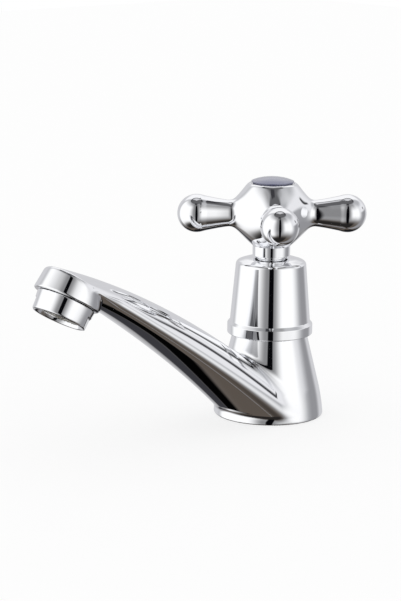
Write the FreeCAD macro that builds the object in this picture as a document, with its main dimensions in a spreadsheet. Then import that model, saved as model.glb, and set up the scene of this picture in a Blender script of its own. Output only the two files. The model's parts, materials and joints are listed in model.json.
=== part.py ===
import enum
import FreeCAD
import math
import os
import Part
import Sketcher
from FreeCAD import Placement, Rotation, Vector

# Cross handle basin tap, millimetres. The origin is the middle of the base's underside, on the tap's
# vertical axis. +Z is up, the spout points along -Y.

# ---------------------------------------------------------------- driving dimensions
SIZES = {
    # casting: base, cone and spigot
    "base_radius": 23.0,
    "rim_height": 4.3,
    "rim_round": 1.2,
    "rim_step": 0.3,
    "rim_slope": 0.4,
    "shroud_seat_height": 34.2,
    "spigot_gap": 1.75,
    "spigot_height": 5.8,
    "bore_overrun": 1.0,
    "seal_groove_inset": 2.5,
    "seal_groove_width": 2.0,
    "seal_groove_depth": 1.5,
    # casting: inlet, seat and valve chamber
    "inlet_thread_radius": 9.32,
    "inlet_thread_depth": 10.0,
    "seat_web": 4.0,
    "seat_bore_radius": 5.0,
    "seat_lip_width": 1.3,
    "seat_lip_height": 0.8,
    "chamber_gap": 1.4,
    "body_thread_step": 0.9,
    "body_thread_depth": 10.0,
    "port_radius": 4.2,
    "port_lift": 5.0,
    "port_overlap": 2.1,
    # spout: its underside, edge, shoulder and crown at three places along it
    "spout_root": 10.0,
    "spout_nose": 3.0,
    "spout_overrun": 7.0,
    "belly_root_drop": 8.0,
    "belly_middle_height": 35.0,
    "belly_end_rise": 10.1,
    "edge_root_rise": 11.8,
    "edge_middle_rise": 3.1,
    "edge_end_rise": 4.6,
    "shoulder_root_rise": 6.0,
    "shoulder_middle_rise": 5.6,
    "shoulder_end_rise": 1.4,
    "crest_root_rise": 11.1,
    "crest_middle_rise": 9.1,
    "crest_end_rise": 2.9,
    "spout_root_inset": 1.3,
    "shoulder_inset": 2.0,
    "shoulder_bulge": 0.44,
    "spout_wall": 2.6,
    "shoulder_wall": 1.2,
    "core_start": 14.0,
    "core_end_gap": 14.0,
    "core_floor": 3.2,
    # nozzle
    "outlet_reach": 113.0,
    "outlet_height": 55.9,
    "nozzle_tilt": 31.0,
    "boss_radius": 12.9,
    "boss_height": 8.2,
    "boss_blank_height": 6.15,
    "boss_socket_radius": 10.0,
    # aerator
    "aerator_gap": 0.15,
    "aerator_foot_radius": 10.6,
    "aerator_top_radius": 11.3,
    "aerator_height": 7.6,
    "aerator_thread_length": 5.4,
    "aerator_wall": 1.3,
    "aerator_mouth_wall": 1.3,
    "aerator_ledge_height": 2.4,
    "aerator_ledge_width": 0.7,
    "spanner_flat_depth": 0.4,
    "spanner_flat_height": 3.6,
    "gasket_overlap": 1.0,
    "gasket_thickness": 1.2,
    "screen_thickness": 1.4,
    "screen_hole_radius": 0.62,
    "screen_hole_pitch": 2.1,
    "insert_height": 6.4,
    "insert_wall": 1.2,
    "insert_plate": 1.4,
    "insert_hole_radius": 0.7,
    "insert_hole_circle": 4.6,
    # headwork
    "thread_end_gap": 0.3,
    "headwork_foot_gap": 1.3,
    "headwork_foot_inset": 0.4,
    "headwork_seal_thickness": 1.2,
    "headwork_seal_inset": 0.4,
    "headwork_hexagon": 24.0,
    "headwork_hexagon_height": 5.0,
    "headwork_neck_length": 6.3,
    "barrel_radius": 5.0,
    "barrel_stand": 0.8,
    "guide_hexagon": 13.2,
    "guide_clearance": 0.2,
    "guide_roof": 2.2,
    # spindle
    "spindle_radius": 3.6,
    "running_clearance": 0.05,
    "thrust_washer_thickness": 0.5,
    "thrust_flange_gap": 0.6,
    "thrust_flange_thickness": 1.5,
    "screw_radius": 4.6,
    "spindle_foot_gap": 0.5,
    "spindle_top_gap": 1.0,
    "spindle_tapping_depth": 9.0,
    "o_ring_thickness": 1.0,
    "o_ring_groove_width": 1.4,
    "o_ring_drop": 7.6,
    "o_ring_spacing": 6.0,
    "circlip_thickness": 0.6,
    "circlip_stand": 1.1,
    "circlip_gap": 2.6,
    # plunger, washer and its screw
    "valve_lift": 4.5,
    "plunger_top_gap": 5.8,
    "plunger_disc_thickness": 2.4,
    "plunger_floor": 1.8,
    "cup_depth": 1.6,
    "cup_wall": 0.6,
    "washer_overlap": 1.2,
    "washer_thickness": 3.0,
    "washer_screw_radius": 2.0,
    "washer_screw_length": 6.0,
    "washer_screw_head_radius": 3.6,
    "washer_screw_head_height": 1.5,
    # shroud and its collar
    "hexagon_gap": 1.1,
    "shroud_ring_stand": 1.05,
    "shroud_ring_height": 4.0,
    "shroud_ring_slope": 1.3,
    "shroud_overhang": 2.3,
    "shroud_taper": 2.15,
    "shroud_height": 30.1,
    "shroud_round": 1.4,
    "shroud_crown": 0.5,
    "shroud_wall": 1.6,
    "shroud_lip_gap": 0.4,
    "shroud_lip_height": 1.8,
    "shroud_hole_gap": 0.3,
    "shroud_o_ring_thickness": 1.3,
    "collar_wall": 1.2,
    "collar_height": 4.0,
    # handle
    "handle_gap": 1.9,
    "skirt_gap": 0.6,
    "skirt_wall": 0.8,
    "skirt_height": 3.6,
    "hub_radius": 13.3,
    "hub_low_drop": 4.6,
    "hub_high_rise": 5.1,
    "hub_crown_height": 7.7,
    "hub_rim_radius": 9.0,
    "hub_low_bend": 9.6,
    "hub_crown_bend": 6.94,
    "arm_rise": 17.4,
    "arm_length": 17.8,
    "arm_tip_radius": 7.8,
    "arm_grip_swell": 2.4,
    "arm_neck_stand": 5.4,
    "arm_root_swell": 3.5,
    "arm_root_inset": 3.0,
    "handle_rest_turn": 50.5,
    "web_drop": 2.1,
    "web_thickness": 3.0,
    "button_rim_wall": 0.4,
    "button_ledge": 0.8,
    "button_seat_depth": 0.8,
    "button_recess_depth": 6.9,
    # handle insert, screw and index button
    "insert_radius": 6.35,
    "insert_length": 9.0,
    "handle_screw_radius": 2.0,
    "handle_screw_length": 11.0,
    "handle_screw_head_radius": 3.9,
    "handle_screw_head_height": 2.6,
    "handle_screw_slot": 0.9,
    "handle_screw_slot_depth": 1.1,
    "screw_head_gap": 0.3,
    "button_gap": 0.15,
    "button_rise": 2.5,
    "button_edge": 0.9,
    "button_stem_gap": 0.6,
    "button_stem_length": 4.6,
    "button_o_ring_thickness": 1.3,
    "seat_clearance": 0.1,
}

doc = FreeCAD.newDocument("basin_tap")
sheet = doc.addObject("Spreadsheet::Sheet", "Sizes")
for row_number, alias in enumerate(SIZES, start=1):
    sheet.set("A%d" % row_number, alias)
    sheet.set("B%d" % row_number, str(SIZES[alias]))
    sheet.setAlias("B%d" % row_number, alias)
doc.recompute()


class Size:
    """A length or angle that carries the sheet expression it is worked out with."""

    def __init__(self, value, text):
        self.value = value
        self.text = text

    def __add__(self, other):
        return Size(self.value + value_of(other), "(%s + %s)" % (self.text, text_of(other)))

    def __radd__(self, other):
        return Size(value_of(other) + self.value, "(%s + %s)" % (text_of(other), self.text))

    def __sub__(self, other):
        return Size(self.value - value_of(other), "(%s - %s)" % (self.text, text_of(other)))

    def __rsub__(self, other):
        return Size(value_of(other) - self.value, "(%s - %s)" % (text_of(other), self.text))

    def __mul__(self, factor):
        return Size(self.value * value_of(factor), "(%s * %s)" % (self.text, text_of(factor)))

    def __truediv__(self, factor):
        return Size(self.value / value_of(factor), "(%s / %s)" % (self.text, text_of(factor)))

    def __neg__(self):
        return Size(-self.value, "(0 - %s)" % self.text)


def value_of(length):
    return length.value if isinstance(length, Size) else float(length)


def text_of(length):
    return length.text if isinstance(length, Size) else repr(float(length))


def size(alias):
    return Size(float(sheet.get(alias)), "Sizes.%s" % alias)


# ---------------------------------------------------------------- sketch and feature helpers
class Line(enum.IntEnum):
    """The sketch's own axes, as geometry numbers."""

    X_AXIS = -1
    Y_AXIS = -2


class Point(enum.IntEnum):
    """Which point of a line, an arc or a circle a constraint holds."""

    START = 1
    END = 2
    CENTRE = 3


def new_sketch(body, role, name):
    """A sketch on one of the body's own origin planes, found by its role."""
    plane = next(item for item in body.Origin.OriginFeatures if item.Role == role)
    sketch = body.newObject("Sketcher::SketchObject", name)
    sketch.AttachmentSupport = [(plane, "")]
    sketch.MapMode = "FlatFace"
    return sketch


def place_point(sketch, geometry, end, across, upward, tag):
    """Tie one end of a line or arc to its two sizes, measured from the sketch's origin."""
    for kind, length, zero_line in (("DistanceX", across, Line.Y_AXIS), ("DistanceY", upward, Line.X_AXIS)):
        if value_of(length) == 0.0:
            sketch.addConstraint(Sketcher.Constraint("PointOnObject", geometry, end, zero_line))
            continue
        rule = Sketcher.Constraint(kind, Line.X_AXIS, Point.START, geometry, end, value_of(length))
        name = "%s_%s" % (kind, tag)
        index = sketch.addConstraint(rule)
        sketch.renameConstraint(index, name)
        if isinstance(length, Size):
            sketch.setExpression("Constraints." + name, length.text)


def arc_between(start, end, radius):
    """Arc from start to end: a positive radius bulges to the right of the way along, a negative one left."""
    half = (end - start) * 0.5
    middle = start + half
    side = Vector(-half.y, half.x, 0).normalize()
    rise = math.sqrt(max(radius * radius - half.Length ** 2, 0.0))
    centre = middle + side * math.copysign(rise, radius)
    angles = [math.atan2((point - centre).y, (point - centre).x) for point in (start, end)]
    if radius < 0:
        angles.reverse()
    if angles[1] < angles[0]:
        angles[1] += 2 * math.pi
    circle = Part.Circle(centre, Vector(0, 0, 1), abs(radius))
    return Part.ArcOfCircle(circle, angles[0], angles[1])


def draw_outline(sketch, points, tag=""):
    """Close an outline: each point is (across, up) or (across, up, radius of the arc that leaves it)."""
    corners = [Vector(value_of(point[0]), value_of(point[1]), 0) for point in points]
    edges = []
    for index, point in enumerate(points):
        start = corners[index]
        end = corners[(index + 1) % len(points)]
        bend = point[2] if len(point) > 2 else None
        if bend is None:
            edges.append((sketch.addGeometry(Part.LineSegment(start, end)), Point.START, Point.END))
            continue
        geometry = sketch.addGeometry(arc_between(start, end, value_of(bend)))
        if value_of(bend) > 0:
            edges.append((geometry, Point.START, Point.END))
        else:
            edges.append((geometry, Point.END, Point.START))
    for index, point in enumerate(points):
        geometry, start, end = edges[index]
        next_geometry, next_start, next_end = edges[(index + 1) % len(points)]
        sketch.addConstraint(Sketcher.Constraint("Coincident", geometry, end, next_geometry, next_start))
        place_point(sketch, geometry, start, point[0], point[1], "%s%d" % (tag, index))
        if len(point) > 2:
            bend = point[2] if value_of(point[2]) > 0 else -point[2]
            name = "bend_%s%d" % (tag, index)
            rule = Sketcher.Constraint("Radius", geometry, value_of(bend))
            constraint = sketch.addConstraint(rule)
            sketch.renameConstraint(constraint, name)
            if isinstance(bend, Size):
                sketch.setExpression("Constraints." + name, bend.text)


def draw_circle(sketch, across, upward, radius, tag=""):
    centre = Vector(value_of(across), value_of(upward), 0)
    geometry = sketch.addGeometry(Part.Circle(centre, Vector(0, 0, 1), value_of(radius)))
    constraint = sketch.addConstraint(Sketcher.Constraint("Radius", geometry, value_of(radius)))
    name = "radius_%s" % tag
    sketch.renameConstraint(constraint, name)
    sketch.setExpression("Constraints." + name, radius.text)
    place_point(sketch, geometry, Point.CENTRE, across, upward, "centre_" + tag)


def hexagon(across_flats):
    """Corners of a hexagon about the origin, two of them on the first axis."""
    corner = across_flats / math.sqrt(3)
    half = across_flats / 2
    return [
        (corner, 0),
        (corner / 2, half),
        (-(corner / 2), half),
        (-corner, 0),
        (-(corner / 2), -half),
        (corner / 2, -half),
    ]


def new_body(name):
    body = doc.addObject("PartDesign::Body", name)
    body.Label = name
    return body


def bind(feature, name, length):
    setattr(feature, name, value_of(length))
    if isinstance(length, Size):
        feature.setExpression(name, length.text)


def revolve_sketch(body, name, sketch, axis="V_Axis"):
    """Turn a sketch a full turn about one of its own axes."""
    feature = body.newObject("PartDesign::Revolution", name)
    feature.Profile = sketch
    feature.ReferenceAxis = (sketch, [axis])
    feature.Angle = 360.0
    doc.recompute()
    return feature


def revolve(body, name, profile):
    """Turn a profile of (radius, height) points in the body's XZ plane about the vertical axis."""
    sketch = new_sketch(body, "XZ_Plane", name + "_profile")
    draw_outline(sketch, profile)
    return revolve_sketch(body, name, sketch)


def extrude(body, name, draw, low, high, cut=False):
    """Pad or pocket what draw() puts in a sketch on the XY plane, from the low to the high height."""
    sketch = new_sketch(body, "XY_Plane", name + "_outline")
    sketch.AttachmentOffset = Placement(Vector(0, 0, value_of(low)), Rotation())
    if isinstance(low, Size):
        sketch.setExpression("AttachmentOffset.Base.z", low.text)
    draw(sketch)
    feature = body.newObject("PartDesign::Pocket" if cut else "PartDesign::Pad", name)
    feature.Profile = sketch
    bind(feature, "Length", high - low)
    if cut:
        feature.Reversed = True
    doc.recompute()
    return feature


def turned(name, profile):
    body = new_body(name)
    revolve(body, name + "_turning", profile)
    return body


def ring(name, inner, outer, low, high):
    return turned(name, [(inner, low), (outer, low), (outer, high), (inner, high)])


def o_ring(name, inner, thickness, height):
    """A round-section ring about the vertical axis."""
    body = new_body(name)
    sketch = new_sketch(body, "XZ_Plane", name + "_profile")
    draw_circle(sketch, inner + thickness / 2, height, thickness / 2, "section")
    revolve_sketch(body, name + "_turning", sketch)
    return body


def shape_feature(name, shape):
    feature = doc.addObject("Part::Feature", name)
    feature.Shape = shape
    feature.Label = name
    return feature


# ---------------------------------------------------------------- sizes that follow from the driving ones
clearance = size("seat_clearance")
running = size("running_clearance")
# heights up the casting and the shroud
seat_floor = size("inlet_thread_depth") + size("seat_web")
lip_height = seat_floor + size("seat_lip_height")
spigot_top = size("shroud_seat_height") + size("spigot_height")
body_thread_foot = spigot_top - size("body_thread_depth")
shroud_top = size("shroud_seat_height") + size("shroud_height")
collar_foot = shroud_top + size("shroud_crown")
barrel_top = collar_foot + size("collar_height") + size("barrel_stand")
# heights up the valve
plunger_foot = lip_height + size("washer_thickness")
plunger_disc_top = plunger_foot + size("plunger_disc_thickness")
plunger_bore_floor = plunger_disc_top + size("plunger_floor")
headwork_foot = plunger_disc_top + size("valve_lift") + size("headwork_foot_gap")
spindle_foot = plunger_bore_floor + size("valve_lift") + size("spindle_foot_gap")
flange_height = spigot_top + size("headwork_seal_thickness")
neck_foot = flange_height + size("headwork_hexagon_height")
neck_top = neck_foot + size("headwork_neck_length")
guide_top = neck_top - size("guide_roof")
flange_top = guide_top - size("thrust_washer_thickness")
flange_foot = flange_top - size("thrust_flange_thickness")
plunger_top = flange_foot - size("valve_lift") - size("plunger_top_gap")
upper_o_ring_height = barrel_top - size("o_ring_drop")
lower_o_ring_height = upper_o_ring_height - size("o_ring_spacing")
circlip_foot = barrel_top + clearance
# heights up the handle
skirt_foot = collar_foot + size("handle_gap")
skirt_top = skirt_foot + size("skirt_height")
arm_height = skirt_foot + size("arm_rise")
hub_low = arm_height - size("hub_low_drop")
hub_high = arm_height + size("hub_high_rise")
hub_top = hub_high + size("hub_crown_height")
web_foot = arm_height - size("web_drop")
web_top = web_foot + size("web_thickness")
button_seat = hub_top - size("button_seat_depth")
spindle_top = web_foot - size("spindle_top_gap")
# radii of the seat, the plunger and the threads, each one outside the last
seat_lip_radius = size("seat_bore_radius") + size("seat_lip_width")
washer_radius = seat_lip_radius + size("washer_overlap")
cup_radius = washer_radius + clearance
plunger_disc_radius = cup_radius + size("cup_wall")
chamber_radius = plunger_disc_radius + size("chamber_gap")
body_thread_radius = chamber_radius + size("body_thread_step")
headwork_thread_radius = body_thread_radius - clearance
headwork_foot_radius = chamber_radius - size("headwork_foot_inset")
screw_hole = size("washer_screw_radius") + clearance
# radii round the spindle
spindle_bore = size("spindle_radius") + running
spline_radius = size("spindle_radius") - clearance
o_ring_inner = size("spindle_radius") - size("o_ring_thickness")
circlip_radius = size("spindle_radius") + size("circlip_stand")
thrust_flange_radius = size("guide_hexagon") / 2 - size("thrust_flange_gap")
shroud_hole_radius = size("barrel_radius") + size("shroud_hole_gap")
collar_bore = size("barrel_radius") + clearance
collar_radius = collar_bore + size("collar_wall")
skirt_bore = collar_radius + size("skirt_gap")
skirt_radius = skirt_bore + size("skirt_wall")
# radii of the shroud, which clears the hexagon, and of the cone that carries it
shroud_foot_radius = size("headwork_hexagon") / math.sqrt(3) + size("hexagon_gap") + size("shroud_wall")
shroud_ring_radius = shroud_foot_radius + size("shroud_ring_stand")
shroud_top_radius = shroud_foot_radius - size("shroud_taper")
spigot_radius = shroud_foot_radius - size("shroud_wall") - size("spigot_gap")
shroud_lip_radius = spigot_radius + size("shroud_lip_gap")
cone_top_radius = shroud_ring_radius - size("shroud_overhang")
cone_foot_radius = size("base_radius") - size("rim_step")
seal_groove_outer = size("base_radius") - size("seal_groove_inset")
seal_groove_inner = seal_groove_outer - size("seal_groove_width")
# handle and index button
arm_reach = size("hub_radius") + size("arm_length")
arm_neck_reach = size("hub_radius") + size("arm_neck_stand")
arm_neck_radius = size("arm_tip_radius") - size("arm_grip_swell")
arm_root_radius = arm_neck_radius + size("arm_root_swell")
arm_root_reach = size("hub_radius") - size("arm_root_inset")
button_seat_radius = size("hub_rim_radius") - size("button_rim_wall")
button_recess_radius = button_seat_radius - size("button_ledge")
button_recess_floor = hub_top - size("button_recess_depth")
button_stem_radius = button_recess_radius - size("button_stem_gap")
button_o_ring_inner = button_recess_radius - clearance - size("button_o_ring_thickness")
button_o_ring_height = button_seat - size("button_stem_length") / 2
# nozzle and aerator
boss_start = size("aerator_height") + size("aerator_gap")
boss_top = boss_start + size("boss_height")
boss_socket_depth = size("aerator_thread_length") + size("gasket_thickness") + clearance
aerator_thread_radius = size("boss_socket_radius") - clearance
aerator_thread_top = size("aerator_height") + size("aerator_thread_length")
aerator_bore_radius = aerator_thread_radius - size("aerator_wall")
aerator_ledge_radius = aerator_bore_radius - size("aerator_ledge_width")
aerator_mouth_radius = size("aerator_foot_radius") - size("aerator_mouth_wall")
screen_radius = aerator_bore_radius - clearance
# spout: three places along it, and the heights of its four lines there
spout_end = size("outlet_reach") - size("spout_nose")
SPOUT_PLACES = (size("spout_root"), (size("spout_root") + spout_end) / 2, spout_end)
BELLY = (
    -size("belly_root_drop"),
    size("belly_middle_height"),
    size("outlet_height") + size("belly_end_rise"),
)
EDGE = (
    BELLY[0] + size("edge_root_rise"),
    BELLY[1] + size("edge_middle_rise"),
    BELLY[2] + size("edge_end_rise"),
)
SHOULDER = (
    EDGE[0] + size("shoulder_root_rise"),
    EDGE[1] + size("shoulder_middle_rise"),
    EDGE[2] + size("shoulder_end_rise"),
)
CREST = (
    SHOULDER[0] + size("crest_root_rise"),
    SHOULDER[1] + size("crest_middle_rise"),
    SHOULDER[2] + size("crest_end_rise"),
)


# ---------------------------------------------------------------- casting
def through(distance, heights):
    """Height at a distance in front of the axis, on the parabola through three heights."""
    places = [place.value for place in SPOUT_PLACES]
    total = 0.0
    for index, height in enumerate(heights):
        share = height.value
        for other in range(len(places)):
            if other != index:
                share *= (distance - places[other]) / (places[index] - places[other])
        total += share
    return total


def nozzle_point(distance):
    """A point on the nozzle's axis, at a distance above the outlet."""
    return outlet + nozzle_up * distance


def spout_half_width(distance):
    """The spout narrows in a straight line from its root to the boss."""
    root = (size("base_radius") - size("spout_root_inset")).value
    tip = size("boss_radius").value
    start = size("spout_root").value
    stop = -nozzle_point(boss_top.value).y
    return root + (tip - root) * (distance - start) / (stop - start)


tilt = math.radians(size("nozzle_tilt").value)
outlet = Vector(0, -size("outlet_reach").value, size("outlet_height").value)
nozzle_up = Vector(0, math.sin(tilt), math.cos(tilt))


def spout_section(distance, side_wall, height_wall, edge_wall):
    """Closed outline across the spout: crown, right edge, belly and left edge, each one arc."""
    half = spout_half_width(distance) - side_wall
    crest = through(distance, CREST) - height_wall
    shoulder = through(distance, SHOULDER) - edge_wall
    edge = through(distance, EDGE) + edge_wall
    belly = through(distance, BELLY) + height_wall
    inset = size("shoulder_inset").value
    bulge = size("shoulder_bulge").value
    middle = (edge + shoulder) / 2

    def at(across, height):
        return Vector(across, -distance, height)

    arcs = [
        Part.Arc(at(inset - half, shoulder), at(0, crest), at(half - inset, shoulder)),
        Part.Arc(at(half - inset, shoulder), at(half - bulge, middle), at(half, edge)),
        Part.Arc(at(half, edge), at(0, belly), at(-half, edge)),
        Part.Arc(at(-half, edge), at(bulge - half, middle), at(inset - half, shoulder)),
    ]
    return Part.Wire([arc.toShape() for arc in arcs])


def spout_loft(start, end, count, side_wall=0.0, height_wall=0.0, edge_wall=0.0):
    """A smooth solid through so many evenly spaced sections."""
    step = (end - start) / (count - 1)
    places = [start + step * index for index in range(count)]
    return Part.makeLoft([spout_section(place, side_wall, height_wall, edge_wall) for place in places], True)


def slab_above(height):
    """A block over the whole tap, from a height upwards."""
    reach = size("outlet_reach").value * 2
    return Part.makeBox(reach, reach * 2, reach, Vector(-reach / 2, -reach, height))


def spout_blank():
    """The spout's outer form, rounded at its tip by the boss's own circle."""
    reach = size("outlet_reach").value
    loft = spout_loft(0.0, reach + size("spout_overrun").value, 8)
    round_tip = Part.makeCylinder(size("boss_radius").value, reach * 3, nozzle_point(-reach), nozzle_up)
    rear = Part.makeBox(reach, reach * 2, reach * 3)
    rear.translate(Vector(-reach / 2, 0, -reach))
    rear.rotate(Vector(0, 0, 0), Vector(1, 0, 0), -size("nozzle_tilt").value)
    rear.translate(nozzle_point(0))
    inside = round_tip.fuse(rear).removeSplitter()
    return loft.common(inside).common(slab_above(size("rim_round").value))


def spout_core():
    """The hollow in the spout, one wall inside its outer form."""
    end = (size("outlet_reach") - size("core_end_gap")).value
    wall = size("spout_wall").value
    loft = spout_loft(size("core_start").value, end, 6, wall, wall, size("shoulder_wall").value)
    return loft.common(slab_above(size("core_floor").value))


def cylinder(name, radius, height, placement):
    feature = doc.addObject("Part::Cylinder", name)
    bind(feature, "Radius", radius)
    bind(feature, "Height", height)
    feature.Placement = placement
    return feature


def fuse(name, shapes):
    feature = doc.addObject("Part::MultiFuse", name)
    feature.Shapes = shapes
    return feature


def cut(name, base, tool):
    feature = doc.addObject("Part::Cut", name)
    feature.Base = base
    feature.Tool = tool
    return feature


def along_nozzle(distance):
    """Placement whose +Z runs up the nozzle, at a distance above the outlet."""
    return Placement(nozzle_point(value_of(distance)), Rotation(Vector(0, 0, 1), nozzle_up))


def casting():
    column = turned(
        "column_blank",
        [
            (0, 0),
            (size("base_radius") - size("rim_round"), 0, size("rim_round")),
            (size("base_radius"), size("rim_round")),
            (size("base_radius"), size("rim_height")),
            (cone_foot_radius, size("rim_height") + size("rim_slope")),
            (cone_top_radius, size("shroud_seat_height")),
            (spigot_radius, size("shroud_seat_height")),
            (spigot_radius, spigot_top),
            (0, spigot_top),
        ],
    )
    boss = cylinder("boss_blank", size("boss_radius"), size("boss_blank_height"), along_nozzle(boss_start))
    outside = fuse("casting_outside", [column, shape_feature("spout_blank", spout_blank()), boss])
    below = -size("bore_overrun")
    water_ways = turned(
        "valve_chamber",
        [
            (0, below),
            (size("inlet_thread_radius"), below),
            (size("inlet_thread_radius"), size("inlet_thread_depth")),
            (size("seat_bore_radius"), size("inlet_thread_depth")),
            (size("seat_bore_radius"), lip_height),
            (seat_lip_radius, lip_height),
            (seat_lip_radius, seat_floor),
            (chamber_radius, seat_floor),
            (chamber_radius, body_thread_foot),
            (body_thread_radius, body_thread_foot),
            (body_thread_radius, spigot_top + size("bore_overrun")),
            (0, spigot_top + size("bore_overrun")),
        ],
    )
    port_height = (seat_floor + size("port_lift")).value
    port_place = Placement(Vector(0, 0, port_height), Rotation(Vector(1, 0, 0), 90))
    port = cylinder("port", size("port_radius"), size("core_start") + size("port_overlap"), port_place)
    socket_depth = boss_socket_depth + size("bore_overrun")
    socket_place = along_nozzle(boss_start - size("bore_overrun"))
    socket = cylinder("boss_socket", size("boss_socket_radius"), socket_depth, socket_place)
    seal_groove = ring("seal_groove", seal_groove_inner, seal_groove_outer, below, size("seal_groove_depth"))
    hollow = shape_feature("spout_core", spout_core())
    inside = fuse("casting_inside", [water_ways, hollow, port, socket, seal_groove])
    body = cut("spout_body", outside, inside)
    body.Label = "spout_body"
    return body


# ---------------------------------------------------------------- headwork: the screwed-in valve top
def headwork_body():
    body = new_body("headwork_body")
    thread_foot = body_thread_foot + size("thread_end_gap")
    profile = [
        (0, headwork_foot),
        (headwork_foot_radius, headwork_foot),
        (headwork_foot_radius, thread_foot),
        (headwork_thread_radius, thread_foot),
        (headwork_thread_radius, flange_height),
        (headwork_foot_radius, flange_height),
        (headwork_foot_radius, neck_top),
        (size("barrel_radius"), neck_top),
        (size("barrel_radius"), barrel_top),
        (0, barrel_top),
    ]
    revolve(body, "headwork_turning", profile)
    extrude(
        body,
        "headwork_hexagon",
        lambda sketch: draw_outline(sketch, hexagon(size("headwork_hexagon"))),
        flange_height,
        neck_foot,
    )
    extrude(
        body,
        "headwork_guide",
        lambda sketch: draw_outline(sketch, hexagon(size("guide_hexagon"))),
        headwork_foot,
        guide_top,
        cut=True,
    )
    extrude(
        body,
        "headwork_bore",
        lambda sketch: draw_circle(sketch, 0, 0, spindle_bore, "bore"),
        guide_top,
        barrel_top,
        cut=True,
    )
    return body


def headwork_seal():
    inner = headwork_thread_radius + clearance
    outer = spigot_radius - size("headwork_seal_inset")
    return ring("headwork_seal", inner, outer, spigot_top, flange_height)


def thrust_washer():
    inner = size("spindle_radius") + clearance
    return ring("thrust_washer", inner, thrust_flange_radius, flange_top, guide_top)


def spindle_groove(height):
    floor = o_ring_inner - running
    half = size("o_ring_groove_width") / 2
    return [
        (size("spindle_radius"), height - half),
        (floor, height - half),
        (floor, height + half),
        (size("spindle_radius"), height + half),
    ]


def circlip_groove():
    floor = size("spindle_radius") - size("circlip_thickness")
    low = circlip_foot - running
    high = circlip_foot + size("circlip_thickness") + running
    return [(size("spindle_radius"), low), (floor, low), (floor, high), (spline_radius, high)]


def spindle():
    profile = [
        (0, spindle_foot),
        (size("screw_radius"), spindle_foot),
        (size("screw_radius"), flange_foot),
        (thrust_flange_radius, flange_foot),
        (thrust_flange_radius, flange_top),
        (size("spindle_radius"), flange_top),
    ]
    profile += spindle_groove(lower_o_ring_height)
    profile += spindle_groove(upper_o_ring_height)
    profile += circlip_groove()
    tapping_floor = spindle_top - size("spindle_tapping_depth")
    tapping = size("handle_screw_radius") + running
    profile += [
        (spline_radius, spindle_top),
        (tapping, spindle_top),
        (tapping, tapping_floor),
        (0, tapping_floor),
    ]
    return turned("spindle", profile)


def spindle_o_ring(name, height):
    return o_ring(name, o_ring_inner, size("o_ring_thickness") - running, height)


def spindle_circlip():
    body = new_body("spindle_circlip")
    inner = size("spindle_radius") - size("circlip_thickness") + running
    top = circlip_foot + size("circlip_thickness")
    profile = [(inner, circlip_foot), (circlip_radius, circlip_foot), (circlip_radius, top), (inner, top)]
    revolve(body, "circlip_turning", profile)
    half_gap = size("circlip_gap") / 2
    past = circlip_radius + size("bore_overrun")
    gap = [(0, -half_gap), (past, -half_gap), (past, half_gap), (0, half_gap)]
    extrude(body, "circlip_gap", lambda sketch: draw_outline(sketch, gap), circlip_foot, top, cut=True)
    return body


# ---------------------------------------------------------------- plunger: rises off the seat
def valve_plunger():
    body = new_body("valve_plunger")
    cup_foot = plunger_foot - size("cup_depth")
    profile = [
        (screw_hole, plunger_foot),
        (cup_radius, plunger_foot),
        (cup_radius, cup_foot),
        (plunger_disc_radius, cup_foot),
        (plunger_disc_radius, plunger_disc_top),
        (screw_hole, plunger_disc_top),
    ]
    revolve(body, "plunger_disc", profile)
    extrude(
        body,
        "plunger_stem",
        lambda sketch: draw_outline(sketch, hexagon(size("guide_hexagon") - size("guide_clearance"))),
        plunger_disc_top,
        plunger_top,
    )
    extrude(
        body,
        "plunger_bore",
        lambda sketch: draw_circle(sketch, 0, 0, size("screw_radius") + clearance, "bore"),
        plunger_bore_floor,
        plunger_top,
        cut=True,
    )
    extrude(
        body,
        "plunger_screw_hole",
        lambda sketch: draw_circle(sketch, 0, 0, screw_hole, "hole"),
        plunger_disc_top,
        plunger_bore_floor,
        cut=True,
    )
    return body


def jumper_washer():
    return ring("jumper_washer", screw_hole, washer_radius, lip_height, plunger_foot)


def washer_screw():
    shank = size("washer_screw_radius")
    head = size("washer_screw_head_radius")
    top = lip_height + size("washer_screw_length")
    foot = lip_height - size("washer_screw_head_height")
    profile = [(0, foot), (head, foot), (head, lip_height), (shank, lip_height), (shank, top), (0, top)]
    return turned("washer_screw", profile)


# ---------------------------------------------------------------- shroud: the bell over the headwork
def shroud():
    foot = size("shroud_seat_height")
    ring_top = foot + size("shroud_ring_height")
    wall = size("shroud_wall")
    lip_top = foot + size("shroud_lip_height")
    corner = size("shroud_round")
    profile = [
        (shroud_lip_radius, foot),
        (shroud_ring_radius, foot),
        (shroud_ring_radius, ring_top),
        (shroud_foot_radius, ring_top + size("shroud_ring_slope")),
        (shroud_top_radius, shroud_top - corner, corner),
        (shroud_top_radius - corner, shroud_top),
        (collar_radius, collar_foot),
        (shroud_hole_radius, collar_foot),
        (shroud_hole_radius, shroud_top - wall),
        (shroud_top_radius - wall, shroud_top - wall),
        (shroud_foot_radius - wall, lip_top),
        (shroud_lip_radius, lip_top),
    ]
    return turned("shroud", profile)


def shroud_o_ring():
    thickness = size("shroud_o_ring_thickness")
    height = size("shroud_seat_height") + size("shroud_lip_height") + thickness / 2 + running
    return o_ring("shroud_o_ring", spigot_radius + running, thickness, height)


def shroud_collar():
    return ring("shroud_collar", collar_bore, collar_radius, collar_foot, collar_foot + size("collar_height"))


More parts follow.
